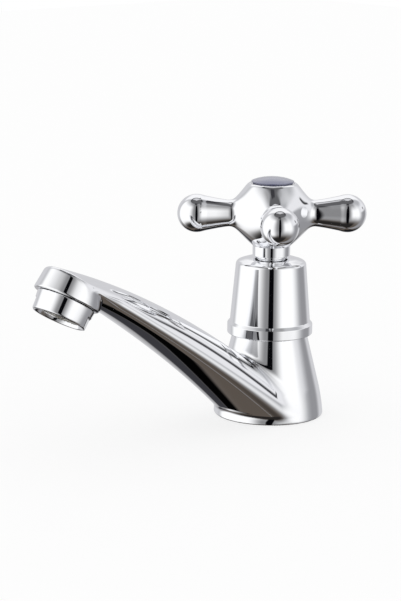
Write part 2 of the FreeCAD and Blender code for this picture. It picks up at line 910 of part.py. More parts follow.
# ---------------------------------------------------------------- handle
def handle():
    body = new_body("handle")
    hub = size("hub_radius")
    bore = size("insert_radius") + clearance
    screw = size("handle_screw_radius") + clearance * 2
    head = size("handle_screw_head_radius") + size("screw_head_gap")
    profile = [
        (skirt_bore, skirt_foot),
        (skirt_radius, skirt_foot),
        (skirt_radius, skirt_top, size("hub_low_bend")),
        (hub, hub_low),
        (hub, hub_high, size("hub_crown_bend")),
        (size("hub_rim_radius"), hub_top),
        (button_seat_radius, hub_top),
        (button_seat_radius, button_seat),
        (button_recess_radius, button_seat),
        (button_recess_radius, button_recess_floor),
        (head, button_recess_floor),
        (head, web_top),
        (screw, web_top),
        (screw, web_foot),
        (bore, web_foot),
        (bore, skirt_top),
        (skirt_bore, skirt_top),
    ]
    # the hub's own seam runs between two arms
    hub_sketch = new_sketch(body, "XZ_Plane", "hub_profile")
    hub_sketch.AttachmentOffset = Placement(Vector(), Rotation(Vector(0, 1, 0), 45))
    draw_outline(hub_sketch, profile)
    revolve_sketch(body, "hub_turning", hub_sketch)
    tip = size("arm_tip_radius")
    # the grip widens in a straight line that runs into the round tip without a corner
    lean = math.asin(size("arm_grip_swell").value / (arm_reach - arm_neck_reach).value)
    arm_profile = [
        (arm_root_reach, 0),
        (arm_reach + tip, 0, tip),
        (arm_reach - tip * math.sin(lean), tip * math.cos(lean)),
        (arm_neck_reach, arm_neck_radius, arm_flare()),
        (arm_root_reach, arm_root_radius),
    ]
    arm_sketch = new_sketch(body, "XZ_Plane", "arm_profile")
    arm_sketch.AttachmentOffset = Placement(Vector(0, arm_height.value, 0), Rotation())
    arm_sketch.setExpression("AttachmentOffset.Base.y", arm_height.text)
    draw_outline(arm_sketch, arm_profile)
    arm = revolve_sketch(body, "arm_turning", arm_sketch, "H_Axis")
    pattern = body.newObject("PartDesign::PolarPattern", "arms")
    pattern.Originals = [arm]
    pattern.Axis = (arm_sketch, ["V_Axis"])
    pattern.Angle = 360.0
    pattern.Occurrences = 4
    body.Tip = pattern
    body.Placement = rest_turn()
    doc.recompute()
    return body


def arm_flare():
    """Radius of the curve that runs from the arm's neck out into the hub, level where it leaves the neck."""
    across = (arm_neck_reach - arm_root_reach).value
    rise = size("arm_root_swell").value
    return -(across * across / rise + rise) / 2


def rest_turn():
    """The handle's turn at rest, from the spout's direction to its first arm."""
    return Placement(Vector(), Rotation(Vector(0, 0, 1), size("handle_rest_turn").value - 90))


def handle_insert():
    low = web_foot - size("insert_length")
    return ring("handle_insert", spline_radius + running, size("insert_radius"), low, web_foot)


def handle_screw():
    body = new_body("handle_screw")
    shank = size("handle_screw_radius")
    head = size("handle_screw_head_radius")
    foot = web_top - size("handle_screw_length")
    top = web_top + size("handle_screw_head_height")
    profile = [(0, foot), (shank, foot), (shank, web_top), (head, web_top), (head, top), (0, top)]
    revolve(body, "screw_turning", profile)
    half = size("handle_screw_slot") / 2
    slot = [(-head, -half), (head, -half), (head, half), (-head, half)]
    slot_foot = top - size("handle_screw_slot_depth")
    extrude(body, "screw_slot", lambda sketch: draw_outline(sketch, slot), slot_foot, top, cut=True)
    return body


def index_button():
    rim = button_seat_radius - size("button_gap")
    edge = button_seat + size("button_edge")
    rise = size("button_rise")
    dome = (rim * rim + rise * rise) / rise / 2
    foot = button_seat - size("button_stem_length")
    groove_floor = button_o_ring_inner - running
    half = size("button_o_ring_thickness") / 2 + running
    profile = [
        (0, foot),
        (button_stem_radius, foot),
        (button_stem_radius, button_o_ring_height - half),
        (groove_floor, button_o_ring_height - half),
        (groove_floor, button_o_ring_height + half),
        (button_stem_radius, button_o_ring_height + half),
        (button_stem_radius, button_seat),
        (rim, button_seat),
        (rim, edge, dome),
        (0, edge + rise),
    ]
    return turned("index_button", profile)


# ---------------------------------------------------------------- aerator, in the nozzle's own frame
def aerator_housing():
    body = new_body("aerator_housing")
    top = size("aerator_height")
    foot = size("aerator_foot_radius")
    profile = [
        (aerator_mouth_radius, 0),
        (foot, 0),
        (size("aerator_top_radius"), top),
        (aerator_thread_radius, top),
        (aerator_thread_radius, aerator_thread_top),
        (aerator_bore_radius, aerator_thread_top),
        (aerator_bore_radius, size("aerator_ledge_height")),
        (aerator_ledge_radius, size("aerator_ledge_height")),
        (aerator_ledge_radius, size("aerator_ledge_height") / 2),
    ]
    revolve(body, "housing_turning", profile)
    flat = foot - size("spanner_flat_depth")
    reach = size("aerator_top_radius") + size("bore_overrun")
    for side, sign in (("right", 1), ("left", -1)):
        waste = [(flat * sign, -reach), (reach * sign, -reach), (reach * sign, reach), (flat * sign, reach)]
        extrude(
            body,
            "spanner_flat_" + side,
            lambda sketch: draw_outline(sketch, waste),
            0,
            size("spanner_flat_height"),
            cut=True,
        )
    body.Placement = along_nozzle(0)
    return body


def holed_disc(name, radius, low, thickness, holes, hole_radius):
    """A flat disc with rings of round holes: holes lists (circle radius, count)."""
    body = new_body(name)
    revolve(body, name + "_disc", [(0, low), (radius, low), (radius, low + thickness), (0, low + thickness)])
    for number, (circle, count) in enumerate(holes, start=1):
        drill = extrude(
            body,
            "%s_hole_%d" % (name, number),
            lambda sketch: draw_circle(sketch, circle, 0, hole_radius, "hole"),
            low,
            low + thickness,
            cut=True,
        )
        if count == 1:
            continue
        pattern = body.newObject("PartDesign::PolarPattern", "%s_ring_%d" % (name, number))
        pattern.Originals = [drill]
        pattern.Axis = (drill.Profile[0], ["N_Axis"])
        pattern.Angle = 360.0
        pattern.Occurrences = count
        body.Tip = pattern
        doc.recompute()
    return body


def aerator_screen():
    pitch = size("screen_hole_pitch")
    holes = [(0, 1)] + [(pitch * turn, 6 * turn) for turn in (1, 2, 3)]
    low = size("aerator_ledge_height")
    thickness = size("screen_thickness")
    body = holed_disc("aerator_screen", screen_radius, low, thickness, holes, size("screen_hole_radius"))
    body.Placement = along_nozzle(0)
    return body


def aerator_insert():
    """A cup that stands on the screen, its pierced plate at the top."""
    low = size("aerator_ledge_height") + size("screen_thickness")
    plate = size("insert_plate")
    plate_foot = low + size("insert_height") - plate
    holes = [(size("insert_hole_circle"), 10)]
    body = holed_disc("aerator_insert", screen_radius, plate_foot, plate, holes, size("insert_hole_radius"))
    inner = screen_radius - size("insert_wall")
    profile = [(inner, low), (screen_radius, low), (screen_radius, plate_foot), (inner, plate_foot)]
    revolve(body, "insert_wall_turning", profile)
    body.Placement = along_nozzle(0)
    return body


def aerator_gasket():
    inner = aerator_bore_radius - size("gasket_overlap")
    outer = size("boss_socket_radius") - clearance
    top = aerator_thread_top + size("gasket_thickness")
    body = ring("aerator_gasket", inner, outer, aerator_thread_top, top)
    body.Placement = along_nozzle(0)
    return body


def base_seal():
    inner = seal_groove_inner + clearance
    outer = seal_groove_outer - clearance
    return ring("base_seal", inner, outer, 0, size("seal_groove_depth"))


# ---------------------------------------------------------------- all the pieces
pieces = [
    casting(),
    base_seal(),
    headwork_body(),
    headwork_seal(),
    thrust_washer(),
    spindle(),
    spindle_o_ring("spindle_o_ring_lower", lower_o_ring_height),
    spindle_o_ring("spindle_o_ring_upper", upper_o_ring_height),
    spindle_circlip(),
    valve_plunger(),
    jumper_washer(),
    washer_screw(),
    shroud(),
    shroud_o_ring(),
    shroud_collar(),
    handle(),
    handle_insert(),
    handle_screw(),
    index_button(),
    o_ring("button_o_ring", button_o_ring_inner, size("button_o_ring_thickness"), button_o_ring_height),
    aerator_housing(),
    aerator_screen(),
    aerator_insert(),
    aerator_gasket(),
]
doc.recompute()
for item in doc.Objects:
    if "Invalid" in item.State or "Error" in item.State:
        raise RuntimeError("%s is not built: %s" % (item.Name, item.State))
for piece in pieces:
    if piece.Shape.isNull() or not piece.Shape.isValid() or not piece.Shape.Solids:
        raise RuntimeError("%s has no valid solid" % piece.Label)

os.makedirs("parts", exist_ok=True)
for piece in pieces:
    piece.Shape.exportStep("parts/%s.step" % piece.Label)
    box = piece.Shape.optimalBoundingBox()
    print("%-22s %10.1f mm3 %d solid(s), height %.2f to %.2f" % (
        piece.Label, piece.Shape.Volume, len(piece.Shape.Solids), box.ZMin, box.ZMax))
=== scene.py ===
import json
import math

import bpy
import numpy as np
from mathutils import Matrix, Vector


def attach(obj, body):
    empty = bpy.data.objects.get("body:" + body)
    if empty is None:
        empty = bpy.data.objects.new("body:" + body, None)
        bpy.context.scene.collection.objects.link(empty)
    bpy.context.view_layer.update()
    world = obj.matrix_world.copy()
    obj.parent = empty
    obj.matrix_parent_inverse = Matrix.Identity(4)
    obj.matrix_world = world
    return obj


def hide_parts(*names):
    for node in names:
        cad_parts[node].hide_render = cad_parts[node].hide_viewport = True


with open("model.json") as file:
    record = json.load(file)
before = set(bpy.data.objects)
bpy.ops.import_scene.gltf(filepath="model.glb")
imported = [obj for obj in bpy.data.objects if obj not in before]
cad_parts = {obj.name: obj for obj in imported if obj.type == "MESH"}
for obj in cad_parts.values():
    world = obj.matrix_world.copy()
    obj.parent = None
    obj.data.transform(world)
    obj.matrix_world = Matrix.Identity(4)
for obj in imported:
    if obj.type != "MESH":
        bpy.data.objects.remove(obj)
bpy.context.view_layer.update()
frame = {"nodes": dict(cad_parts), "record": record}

# Shapes are worked out in millimetres, in the part's own frame: +Z up, the spout towards -Y.
MM = 0.001
FAR = 1e3
TINY = 1e-9

# ---------------------------------------------------------------- sizes
# A blend or an edge is the width over which two surfaces run into each other.

# base, cone and spigot
BASE_RADIUS = 23.0
BASE_EDGE = 0.9
CONE_TOP_RADIUS = 15.3
CONE_FOOT_RADIUS = 23.85
CONE_FOOT_BLEND = 2.4
SHROUD_SEAT = 34.2
SPIGOT_RADIUS = 13.2
SPIGOT_TOP = 40.0
CAST_EDGE = 0.5

# bores of the casting
INLET_RADIUS = 9.32
INLET_TOP = 10.0
SEAT_RADIUS = 5.0
SEAT_TOP = 20.0
CHAMBER_RADIUS = 9.9
CHAMBER_FLOOR = 14.2
CHAMBER_EDGE = 0.6
BORE_EDGE = 0.6

# spout: each line along it runs through three heights, at these distances in front of the axis;
# the sides stand between the shoulder and the low line
SPOUT_PLACES = (10.0, 60.0, 110.0)
CREST = (20.9, 52.8, 74.9)
SHOULDER = (9.8, 43.7, 72.0)
LOW_LINE = (3.8, 38.1, 70.6)
BELLY = (-8.0, 35.0, 66.0)
SPOUT_NEAREST = -6.0
SPOUT_FARTHEST = 122.0
ROOT_HALF_WIDTH = 21.7
TIP_HALF_WIDTH = 12.5
SIDE_LEAN = 0.36
SHOULDER_BULGE = 0.35
SHOULDER_BLEND = 1.1
SPOUT_ROOT_BLEND = 1.0
# the cosine of the spout's climb, by which its surface is nearer than in an upright section
CLIMB_COSINE = 0.82

# fillet between the spout and the cone, which grows upwards from the base
FILLET_AT_FOOT = 1.1
FILLET_GROWTH = 2.1
FILLET_START = 3.0
FILLET_RUN = 9.0

# nozzle: its mouth's middle, its axis, and the boss at the spout's tip
OUTLET = np.array([0.0, -113.4, 56.14])
NOZZLE_TILT = math.radians(31.0)
NOZZLE_UP = np.array([0.0, math.sin(NOZZLE_TILT), math.cos(NOZZLE_TILT)])
BOSS_RADIUS = 13.5
BOSS_TAPER = 0.12
BOSS_START = 7.75
BOSS_TOP = 15.95
BOSS_BLEND = 0.9
BELLY_END_BLEND = 1.0
SOCKET_RADIUS = 10.0
SOCKET_TOP = 14.45
# the boss narrows by this share of the height's square where it lies behind the nozzle; a place
# counts as behind from the start on, and fully after the run
PINCH = 0.05
PINCH_START = 8.0
BEHIND_START = -2.0
BEHIND_RUN = 15.0
# the blends at the boss are wider behind the nozzle than in front of it
LOW_EDGE_BLEND = 0.9
LOW_EDGE_GROWTH = 2.5
LOW_EDGE_START = 4.0
LOW_EDGE_RUN = 12.0
RIM_BLEND = 0.7
RIM_GROWTH = 1.6
# only the spout's far end is cut off at the boss's foot, or hollowed by its socket
RIM_CUT_FROM = 85.0
SOCKET_FROM = 60.0

# aerator shell, along the nozzle's axis
SHELL_FOOT_RADIUS = 10.95
SHELL_HEIGHT = 7.6
SHELL_WIDENING = 0.7
SHELL_TOP_EDGE = 0.4
SHELL_FOOT_EDGE = 0.7
SHELL_THREAD_RADIUS = 9.9
SHELL_THREAD_TOP = 13.0
FLAT_TURN = math.radians(42.0)
FLAT_REACH = 10.6
FLAT_HEIGHT = 4.7
FLAT_EDGE = 0.3
MOUTH_RADIUS = 9.55
MOUTH_BEVEL_HEIGHT = 1.4
MOUTH_BEVEL_SLOPE = 0.5
MOUTH_EDGE = 0.4
SHELL_BORE_RADIUS = 9.0
SHELL_BORE_FLOOR = 2.4

# the handle's arms
ARM_HEIGHT = 84.1
ARM_REACH = 31.1
ARM_ROOT_BLEND = 5.0
BALL_RADIUS = 7.8
BALL_BLEND = 0.3
NECK_RADIUS = 5.1
NECK_REACH = 17.4
NECK_BLEND = 1.6
REST_TURN = math.radians(50.5)
FLARE = 4.0
FLARE_SPREAD = 40.0
FLARE_LEAD = 1.2
FLARE_DEPTH = 0.3

# the handle's hub, between two cones of 45 degrees with these heights of their tips
HUB_RADIUS = 13.3
HUB_TOP = 96.9
HUB_TOP_EDGE = 1.2
HUB_LOW = 70.3
HUB_BLEND = 5.0
UPPER_CONE_TIP = 106.7
LOWER_CONE_TIP = 63.1
RECESS_RADIUS = 8.95
RECESS_EDGE = 0.35
BUTTON_SEAT = 96.1
HUB_BORE_RADIUS = 6.9
HUB_BORE_TOP = 82.0
HUB_BORE_EDGE = 0.3


# ---------------------------------------------------------------- signed fields
def soft_max(a, b, width):
    """The larger of two fields, with a round of this width where they are nearly the same."""
    overlap = np.maximum(width - np.abs(a - b), 0.0)
    return np.maximum(a, b) + overlap * overlap / (4.0 * width)


def soft_min(a, b, width):
    """The smaller of two fields, with a round as in soft_max."""
    return -soft_max(-a, -b, width)


def smooth_step(share):
    """From 0 to 1 as the share grows, level at both ends."""
    share = np.clip(share, 0.0, 1.0)
    return share * share * (3.0 - 2.0 * share)


def parabola(distance, heights):
    """Height at a distance in front of the axis, through three heights."""
    low, middle, high = SPOUT_PLACES
    return (
        heights[0] * (distance - middle) * (distance - high) / ((low - middle) * (low - high))
        + heights[1] * (distance - low) * (distance - high) / ((middle - low) * (middle - high))
        + heights[2] * (distance - low) * (distance - middle) / ((high - low) * (high - middle))
    )


def nozzle_frame(x, y, z):
    """Distance along the nozzle's axis and across it, towards the tap's back."""
    off_y = y - OUTLET[1]
    off_z = z - OUTLET[2]
    along = off_y * NOZZLE_UP[1] + off_z * NOZZLE_UP[2]
    back = off_y * NOZZLE_UP[2] - off_z * NOZZLE_UP[1]
    return along, back


def spout_field(x, y, z):
    """Crowned top and leaning sides over a round belly, ended by the boss and its flat rim."""
    distance = np.clip(-y, SPOUT_NEAREST, SPOUT_FARTHEST)
    boss_distance = -(OUTLET + NOZZLE_UP * BOSS_TOP)[1]
    run = boss_distance - SPOUT_PLACES[0]
    half = ROOT_HALF_WIDTH + (TIP_HALF_WIDTH - ROOT_HALF_WIDTH) * (distance - SPOUT_PLACES[0]) / run
    crest = parabola(distance, CREST)
    shoulder = parabola(distance, SHOULDER)
    low_line = parabola(distance, LOW_LINE)
    belly = parabola(distance, BELLY)
    top_half = half - SIDE_LEAN * (shoulder - low_line)
    rise = crest - shoulder
    top_radius = (top_half ** 2 + rise ** 2) / (2.0 * rise)
    top = np.hypot(x, z - crest + top_radius) - top_radius
    drop = low_line - belly
    low_radius = (half ** 2 + drop ** 2) / (2.0 * drop)
    low = np.hypot(x, z - belly - low_radius) - low_radius
    slant = math.hypot(1.0, SIDE_LEAN)
    side = (np.abs(x) - half + (z - low_line) * SIDE_LEAN) / slant - SHOULDER_BULGE
    upper = soft_max(top * CLIMB_COSINE, side, SHOULDER_BLEND)

    along, back = nozzle_frame(x, y, z)
    behind = smooth_step((back - BEHIND_START) / BEHIND_RUN)
    boss = np.hypot(x, back) - BOSS_RADIUS + BOSS_TAPER * (along - BOSS_START)
    boss = boss + PINCH * behind * np.maximum(along - PINCH_START, 0.0) ** 2
    under = soft_min(soft_max(low * CLIMB_COSINE, -back, BELLY_END_BLEND), boss, BOSS_BLEND)
    low_edge = LOW_EDGE_BLEND + LOW_EDGE_GROWTH * smooth_step((back - LOW_EDGE_START) / LOW_EDGE_RUN)
    spout = soft_max(upper, under, low_edge)
    rim = np.where(-y > RIM_CUT_FROM, BOSS_START - along, -FAR)
    spout = soft_max(spout, rim, RIM_BLEND + RIM_GROWTH * behind)
    return soft_max(spout, y, SPOUT_ROOT_BLEND)


def casting_field(x, y, z):
    """Cone on its base, spigot and spout, less the bores."""
    radius = np.hypot(x, y)
    lean = math.atan2(CONE_FOOT_RADIUS - CONE_TOP_RADIUS, SHROUD_SEAT)
    cone = (radius - CONE_TOP_RADIUS - (SHROUD_SEAT - z) * math.tan(lean)) * math.cos(lean)
    column = soft_max(cone, radius - BASE_RADIUS, CONE_FOOT_BLEND)
    column = soft_max(column, z - SHROUD_SEAT, CAST_EDGE)
    fillet = FILLET_AT_FOOT + FILLET_GROWTH * np.clip((z - FILLET_START) / FILLET_RUN, 0.0, 1.0)
    outside = soft_min(column, spout_field(x, y, z), fillet)
    spigot = soft_max(radius - SPIGOT_RADIUS, z - SPIGOT_TOP, CAST_EDGE)
    outside = soft_max(np.minimum(outside, spigot), -z, BASE_EDGE)

    along, back = nozzle_frame(x, y, z)
    socket = soft_max(np.hypot(x, back) - SOCKET_RADIUS, along - SOCKET_TOP, CAST_EDGE)
    socket = np.where(-y > SOCKET_FROM, socket, FAR)
    inlet = soft_max(radius - INLET_RADIUS, z - INLET_TOP, CAST_EDGE)
    seat = np.maximum(radius - SEAT_RADIUS, z - SEAT_TOP)
    chamber = soft_max(radius - CHAMBER_RADIUS, CHAMBER_FLOOR - z, CHAMBER_EDGE)
    hollow = np.minimum(np.minimum(socket, inlet), np.minimum(seat, chamber))
    return soft_max(outside, -hollow, BORE_EDGE)


def arm_field(along, across):
    """Field of one arm: along it from the tap's axis, and across it."""
    lean = math.asin((BALL_RADIUS - NECK_RADIUS) / (ARM_REACH - NECK_REACH))
    grip = (across - NECK_RADIUS - (along - NECK_REACH) * math.tan(lean)) * math.cos(lean)
    reach = np.maximum(NECK_REACH + FLARE_LEAD - along, 0.0)
    flare = across - NECK_RADIUS + FLARE_DEPTH - FLARE * (1.0 - np.exp(-reach ** 2 / FLARE_SPREAD))
    wall = soft_min(grip, flare, NECK_BLEND)
    edge = ARM_REACH - BALL_RADIUS * math.sin(lean)
    shaft = np.maximum(wall, along - edge)
    ball = np.hypot(along - ARM_REACH, across) - BALL_RADIUS
    return soft_min(shaft, ball, BALL_BLEND)


def handle_field(x, y, z):
    """Hub with four arms, less the button's recess and the bore."""
    radius = np.hypot(x, y)
    upper = (radius + z - UPPER_CONE_TIP) * math.sqrt(0.5)
    lower = (radius - z + LOWER_CONE_TIP) * math.sqrt(0.5)
    hub = soft_max(radius - HUB_RADIUS, upper, HUB_BLEND)
    hub = soft_max(hub, lower, HUB_BLEND)
    hub = soft_max(hub, z - HUB_TOP, HUB_TOP_EDGE)
    hub = np.maximum(hub, HUB_LOW - z)
    # turned so that the arms lie on the two axes
    along_x = x * math.sin(REST_TURN) - y * math.cos(REST_TURN)
    along_y = x * math.cos(REST_TURN) + y * math.sin(REST_TURN)
    height = z - ARM_HEIGHT
    first = arm_field(np.abs(along_x), np.hypot(along_y, height))
    second = arm_field(np.abs(along_y), np.hypot(along_x, height))
    body = soft_min(hub, soft_min(first, second, ARM_ROOT_BLEND), HUB_BLEND)
    recess = np.maximum(radius - RECESS_RADIUS, BUTTON_SEAT - z)
    bore = soft_max(radius - HUB_BORE_RADIUS, z - HUB_BORE_TOP, HUB_BORE_EDGE)
    return soft_max(soft_max(body, -recess, RECESS_EDGE), -bore, HUB_BORE_EDGE)


def shell_field(x, y, z):
    """Field of the aerator's shell, with its two spanner flats."""
    along, back = nozzle_frame(x, y, z)
    across = np.hypot(x, back)
    wall = across - SHELL_FOOT_RADIUS - along * SHELL_WIDENING / SHELL_HEIGHT
    outside = soft_max(wall, along - SHELL_HEIGHT, SHELL_TOP_EDGE)
    thread = np.maximum(across - SHELL_THREAD_RADIUS, along - SHELL_THREAD_TOP)
    outside = soft_max(np.minimum(outside, thread), -along, SHELL_FOOT_EDGE)
    reach = np.abs(x * math.cos(FLAT_TURN) + back * math.sin(FLAT_TURN))
    flats = np.maximum(FLAT_REACH - reach, along - FLAT_HEIGHT)
    outside = soft_max(outside, -flats, FLAT_EDGE)
    mouth = across - MOUTH_RADIUS + np.clip(along, 0.0, MOUTH_BEVEL_HEIGHT) * MOUTH_BEVEL_SLOPE
    bore = np.minimum(mouth, np.maximum(across - SHELL_BORE_RADIUS, SHELL_BORE_FLOOR - along))
    return soft_max(outside, -bore, MOUTH_EDGE)


# ---------------------------------------------------------------- skins of fields
SLOPE_STEP = 0.02
LEAST_STEEPNESS = 0.05
LONGEST_MOVE = 0.5
FIRST_ROUNDS = 4
EVENING_ROUNDS = 2
LATER_ROUNDS = 3
EVENING_SHARE = 0.6

CORNERS = [(i, j, k) for i in (0, 1) for j in (0, 1) for k in (0, 1)]
CELL_EDGES = [(a, b) for a in range(8) for b in range(a + 1, 8)
              if sum(abs(p - q) for p, q in zip(CORNERS[a], CORNERS[b])) == 1]


def gradient(field, points):
    """The field's slope at each point, from small steps either way."""
    step = SLOPE_STEP
    x, y, z = points.T
    return np.stack(
        [
            field(x + step, y, z) - field(x - step, y, z),
            field(x, y + step, z) - field(x, y - step, z),
            field(x, y, z + step) - field(x, y, z - step),
        ],
        axis=1,
    ) / (2.0 * step)


def settle(field, points, rounds, held):
    """Move the points along the field's slope onto its zero surface; held ones keep their y."""
    for _ in range(rounds):
        slope = gradient(field, points)
        slope[held, 1] = 0.0
        steep = np.maximum((slope * slope).sum(1), LEAST_STEEPNESS)
        shift = slope * (field(*points.T) / steep)[:, None]
        length = np.linalg.norm(shift, axis=1)
        shift *= np.minimum(1.0, LONGEST_MOVE / np.maximum(length, TINY))[:, None]
        points = points - shift
    return points


def crossed_cells(values):
    """The cells that the surface passes through, their numbers in the grid, and where it does."""
    inside = values < 0.0
    shape = [count - 1 for count in values.shape]
    count = np.zeros(shape, int)
    for i, j, k in CORNERS:
        count += inside[i:i + shape[0], j:j + shape[1], k:k + shape[2]]
    cells = np.argwhere((count > 0) & (count < len(CORNERS)))
    number = -np.ones(shape, int)
    number[tuple(cells.T)] = np.arange(len(cells))
    at_corner = np.stack([values[tuple((cells + corner).T)] for corner in CORNERS], axis=1)
    total = np.zeros((len(cells), 3))
    hits = np.zeros(len(cells))
    for a, b in CELL_EDGES:
        start, end = at_corner[:, a], at_corner[:, b]
        crossed = (start < 0) != (end < 0)
        share = np.where(crossed, start / np.where(crossed, start - end, 1.0), 0.0)
        spot = np.array(CORNERS[a]) + share[:, None] * (np.array(CORNERS[b]) - np.array(CORNERS[a]))
        total += spot * crossed[:, None]
        hits += crossed
    return cells, number, total / hits[:, None]


def crossed_faces(inside, number):
    """A face of four cells round each grid edge that the surface crosses, turned outwards."""
    shape = number.shape
    faces = []
    for axis in range(3):
        first, second = [n for n in range(3) if n != axis]
        ahead = [slice(None)] * 3
        behind = [slice(None)] * 3
        ahead[axis] = slice(1, None)
        behind[axis] = slice(None, -1)
        changes = np.argwhere(inside[tuple(ahead)] != inside[tuple(behind)])
        whole = (changes[:, first] > 0) & (changes[:, second] > 0)
        whole &= (changes[:, first] < shape[first]) & (changes[:, second] < shape[second])
        changes = changes[whole]
        corner = []
        for step_first, step_second in ((1, 1), (0, 1), (0, 0), (1, 0)):
            spot = changes.copy()
            spot[:, first] -= step_first
            spot[:, second] -= step_second
            corner.append(number[tuple(spot.T)])
        quads = np.stack(corner, axis=1)
        outward = inside[tuple(changes.T)]
        flip = outward if axis != 1 else ~outward
        quads[~flip] = quads[~flip][:, ::-1]
        faces.append(quads)
    return np.concatenate(faces)


def evened(points, faces):
    """The points, each drawn towards the middle of those next to it."""
    near = np.zeros_like(points)
    uses = np.zeros(len(points))
    for here, there in ((0, 1), (1, 2), (2, 3), (3, 0)):
        np.add.at(near, faces[:, here], points[faces[:, there]])
        np.add.at(near, faces[:, there], points[faces[:, here]])
        np.add.at(uses, faces[:, here], 1.0)
        np.add.at(uses, faces[:, there], 1.0)
    return points * (1.0 - EVENING_SHARE) + near / np.maximum(uses, 1.0)[:, None] * EVENING_SHARE


def skin_of(field, low, high, step, seam=None):
    """Points, faces and normals of the field's zero surface, on a grid of cells.

    Where a seam is given, the grid ends there along y, and the skin is left open on that plane.
    """
    axes = [low[n] + step * np.arange(round((high[n] - low[n]) / step) + 1) for n in range(3)]
    values = field(*np.meshgrid(*axes, indexing="ij"))
    cells, number, spots = crossed_cells(values)
    faces = crossed_faces(values < 0.0, number)
    points = np.array(low) + (cells + spots) * step
    held = np.zeros(len(points), bool)
    if seam is not None:
        held = cells[:, 1] == (0 if seam == low[1] else number.shape[1] - 1)
        points[held, 1] = seam
    points = settle(field, points, FIRST_ROUNDS, held)
    for _ in range(EVENING_ROUNDS):
        even = evened(points, faces)
        even[held, 1] = points[held, 1]
        points = settle(field, even, LATER_ROUNDS, held)
    slope = gradient(field, points)
    normals = slope / np.maximum(np.linalg.norm(slope, axis=1), TINY)[:, None]
    return points, faces, normals


# ---------------------------------------------------------------- turned pieces
TURN_SEGMENTS = 192
ARC_STEP = 0.12
LEAST_ARC_STEPS = 2
STRAIGHT = 1e-6


def turned_by(way, angle):
    """A flat vector turned anticlockwise."""
    return Vector((
        way.x * math.cos(angle) - way.y * math.sin(angle),
        way.x * math.sin(angle) + way.y * math.cos(angle),
    ))


def rounded_outline(corners, closed):
    """Points and outward normals along an outline of (radius, height, rounding) corners."""
    outline = []
    count = len(corners)
    for index, (radius, height, rounding) in enumerate(corners):
        here = Vector((radius, height))
        if not closed and index in (0, count - 1):
            other = corners[1] if index == 0 else corners[-2]
            way = (Vector(other[:2]) - here) * (1 if index == 0 else -1)
            outline.append((here, Vector((way.y, -way.x)).normalized()))
            continue
        before = (here - Vector(corners[index - 1][:2])).normalized()
        after = (Vector(corners[(index + 1) % count][:2]) - here).normalized()
        first = Vector((before.y, -before.x))
        turn = math.atan2(before.cross(after), before.dot(after))
        if abs(turn) < STRAIGHT:
            outline.append((here, first))
            continue
        setback = rounding * abs(math.tan(turn / 2.0))
        start = here - before * setback
        centre = start - first * rounding * math.copysign(1.0, turn)
        steps = LEAST_ARC_STEPS + int(abs(turn) * rounding / ARC_STEP)
        for step in range(steps + 1):
            normal = turned_by(first, turn * step / steps)
            outline.append((centre + normal * rounding * math.copysign(1.0, turn), normal))
    return outline


def turned(corners, closed=True):
    """Points, faces and normals of an outline turned about the vertical axis."""
    outline = rounded_outline(corners, closed)
    points, normals, faces = [], [], []
    for spot, normal in outline:
        for turn in range(TURN_SEGMENTS):
            angle = 2.0 * math.pi * turn / TURN_SEGMENTS
            points.append((spot.x * math.cos(angle), spot.x * math.sin(angle), spot.y))
            normals.append((normal.x * math.cos(angle), normal.x * math.sin(angle), normal.y))
    rows = len(outline)
    for row in range(rows if closed else rows - 1):
        below = row * TURN_SEGMENTS
        above = (row + 1) % rows * TURN_SEGMENTS
        for turn in range(TURN_SEGMENTS):
            following = (turn + 1) % TURN_SEGMENTS
            faces.append((below + turn, below + following, above + following, above + turn))
    return np.array(points), faces, np.array(normals)


def joined(*parts):
    """Several (points, faces, normals) as one."""
    points, faces, normals, base = [], [], [], 0
    for own_points, own_faces, own_normals in parts:
        points.append(own_points)
        normals.append(own_normals)
        faces += [[corner + base for corner in face] for face in np.asarray(own_faces).tolist()]
        base += len(own_points)
    return np.concatenate(points), faces, np.concatenate(normals)


def add_mesh(name, points, faces, normals, material):
    """A smooth mesh in metres, with its own normals."""
    mesh = bpy.data.meshes.new(name)
    mesh.from_pydata((points * MM).tolist(), [], [list(map(int, face)) for face in faces])
    mesh.update()
    mesh.shade_smooth()
    mesh.normals_split_custom_set_from_vertices(normals.tolist())
    mesh.materials.append(material)
    piece = bpy.data.objects.new(name, mesh)
    bpy.context.scene.collection.objects.link(piece)
    return piece


# ---------------------------------------------------------------- materials
EVEN = (1.0, 1.0, 1.0)
LENGTHWISE = (1.0, 1.0, 14.0)
FINE_DETAIL = 3.0
BROAD_DETAIL = 2.0
BROAD_SHARE = 12.0
NOISE_LOW = 0.3
NOISE_HIGH = 0.7
COAT_ROUGHNESS = 0.03
# the sockets of a mix node that are for colours
MIX_SHARE = 0
MIX_FIRST = 6
MIX_SECOND = 7
MIX_RESULT = 2


